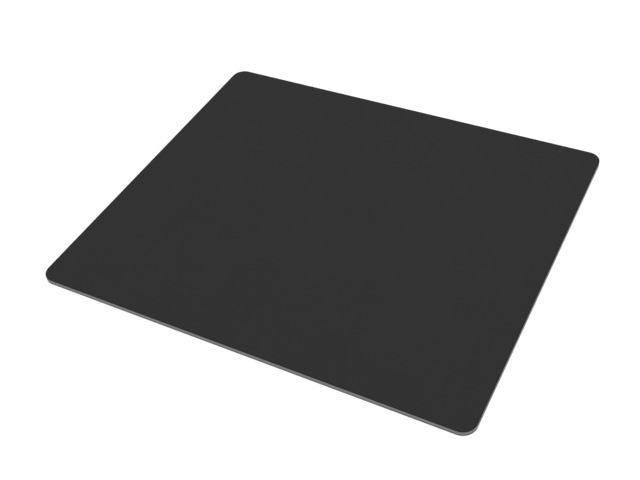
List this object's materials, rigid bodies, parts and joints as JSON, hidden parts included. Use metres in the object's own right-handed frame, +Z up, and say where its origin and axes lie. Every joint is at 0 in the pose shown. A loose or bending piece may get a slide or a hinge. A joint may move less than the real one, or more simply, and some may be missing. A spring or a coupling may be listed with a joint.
{
  "type": "desk mouse pad",
  "caption": "Thin flat rectangular desk mouse pad with rounded corners: dark cloth gliding face on a grey foam core and a non-slip rubber base with a shallow wavy tread.",
  "frame": {"origin": "on the desk, under the middle of the pad", "axes": "+X along the long side, +Y along the short side away from the user, +Z up out of the cloth face"},
  "size_m": [0.25, 0.21, 0.0032],
  "materials": {
    "face_cloth": "matt charcoal polyester, finely woven",
    "core_foam": "mid grey closed-cell foam, die-cut edge",
    "base_rubber": "grey rubber sheet, matt, moulded wavy tread underneath inside a plain land",
    "bond_film": "thin hot-melt glue film"
  },
  "bodies": {
    "root": {"antislip_base": "base_rubber", "lower_bond_film": "bond_film", "foam_core": "core_foam", "upper_bond_film": "bond_film", "surface_cloth": "face_cloth"}
  },
  "joints": []
}
